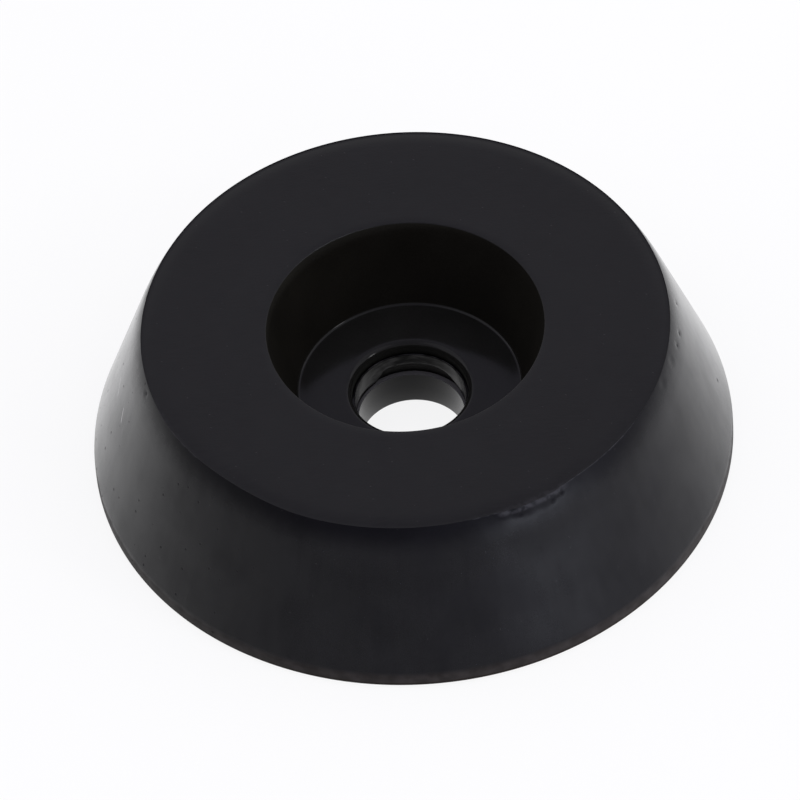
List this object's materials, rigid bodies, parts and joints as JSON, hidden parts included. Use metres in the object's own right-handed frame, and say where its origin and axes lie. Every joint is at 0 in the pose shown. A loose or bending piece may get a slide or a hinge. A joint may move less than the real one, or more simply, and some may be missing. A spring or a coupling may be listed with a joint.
{
  "type": "rubber foot",
  "caption": "Cone-shaped black rubber foot with a recessed screw hole and a moulded-in steel washer, screwed under a case or cabinet to keep it off the floor.",
  "frame": {"origin": "centre of the large face, which goes against the furniture and on which the part stands", "axes": "+Z along the axis of the foot, from the large face towards the small face with the recess"},
  "size_m": [0.038, 0.038, 0.0102],
  "materials": {
    "black_rubber": "matte moulded",
    "washer_steel": "punched, dull"
  },
  "bodies": {
    "root": {"rubber_body": "black_rubber", "steel_washer": "washer_steel"}
  },
  "joints": []
}
